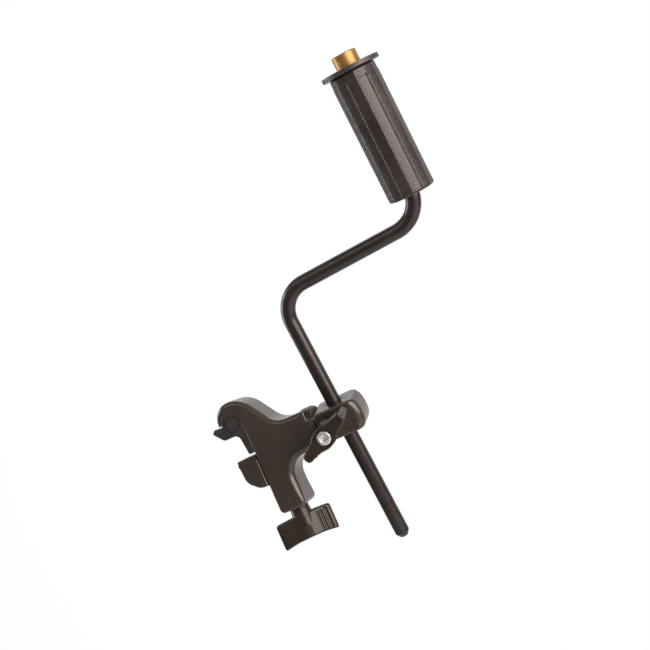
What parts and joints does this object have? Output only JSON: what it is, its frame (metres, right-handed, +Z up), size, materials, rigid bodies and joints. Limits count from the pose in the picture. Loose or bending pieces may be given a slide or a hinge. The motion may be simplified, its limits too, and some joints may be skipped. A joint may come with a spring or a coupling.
{
  "type": "drum rim clamp with microphone post",
  "caption": "Black claw clamp for a drum rim, with a swivel block, a cranked rod, a ribbed sleeve and a threaded brass microphone stub.",
  "frame": {"origin": "Middle of the flat rim seat on the underside of the upper jaw pad, where the clamp rests on a drum rim", "axes": "+Z up along the clamp screw, from the wing knob to the hook; +X from the hook towards the rod; -Y is the front face, where the lock knob points"},
  "size_m": [0.2065, 0.0859, 0.2873],
  "materials": {
    "black_paint": "satin black paint",
    "black_rubber": "matte black rubber",
    "black_plastic": "fine-textured moulded plastic",
    "dark_nylon": "natural dark nylon",
    "black_steel": "black oxide on steel",
    "zinc_steel": "zinc-plated steel",
    "brass": "turned brass"
  },
  "bodies": {
    "clamp": {"clamp_body": "black_paint", "upper_jaw_pad": "black_rubber", "clamp_thrust_washer": "black_steel", "clamp_screw_bush": "black_steel", "swivel_spindle": "zinc_steel", "spindle_set_screw": "zinc_steel", "ratchet_disc": "black_steel"},
    "clamp_drive": {"clamp_screw": "zinc_steel", "clamp_knob": "black_plastic", "clamp_screw_clip": "zinc_steel"},
    "jaw": {"sliding_jaw": "black_paint", "lower_jaw_pad": "black_rubber", "jaw_thread_insert": "zinc_steel"},
    "swivel": {"rod_block": "black_paint"},
    "lock_drive": {"lock_screw": "zinc_steel", "lock_knob": "black_plastic", "lock_washer": "black_steel"},
    "shoe": {"pressure_shoe": "brass"},
    "liner": {"rod_liner": "dark_nylon"},
    "rod": {"z_rod": "black_paint", "post_core": "black_plastic", "grip_sleeve": "black_rubber", "brass_stub": "brass", "stub_pin": "zinc_steel"},
    "ring": {"lock_ring": "black_steel"}
  },
  "joints": [
    {"name": "clamp_knob_turn", "type": "hinge", "parent": "clamp", "child": "clamp_drive", "pos_m": [0.018, 0, -0.07], "axis": [0, 0, 1], "range_deg": [-3600, 360]},
    {"name": "jaw_slide", "type": "slide", "parent": "clamp", "child": "jaw", "axis": [0, 0, 1], "range_m": [-0.0126, 0.0013]},
    {"name": "swivel_turn", "type": "hinge", "parent": "clamp", "child": "swivel", "pos_m": [0.07, 0, -0.0153], "axis": [1, 0, 0], "continuous": true},
    {"name": "rod_turn", "type": "hinge", "parent": "swivel", "child": "liner", "pos_m": [0.07, 0, -0.0153], "axis": [0, -0.225, 0.9744], "continuous": true},
    {"name": "rod_slide", "type": "slide", "parent": "liner", "child": "rod", "axis": [0, -0.225, 0.9744], "range_m": [-0.038, 0.07]},
    {"name": "shoe_slide", "type": "slide", "parent": "swivel", "child": "shoe", "axis": [0, -0.9744, -0.225], "range_m": [0, 0.00105]},
    {"name": "lock_knob_turn", "type": "hinge", "parent": "shoe", "child": "lock_drive", "pos_m": [0.0645, 0, -0.0153], "axis": [0, -0.9744, -0.225], "range_deg": [0, 360]},
    {"name": "lock_ring_turn", "type": "hinge", "parent": "rod", "child": "ring", "pos_m": [0.1758, -0.04295, 0.17076], "axis": [0, -0.225, 0.9744], "range_deg": [0, 2880]}
  ],
  "couplings": [
    {"joint": "jaw_slide", "follows": "clamp_knob_turn", "m_per_rad": 0.00019894},
    {"joint": "shoe_slide", "follows": "lock_knob_turn", "m_per_rad": 0.00015915}
  ]
}
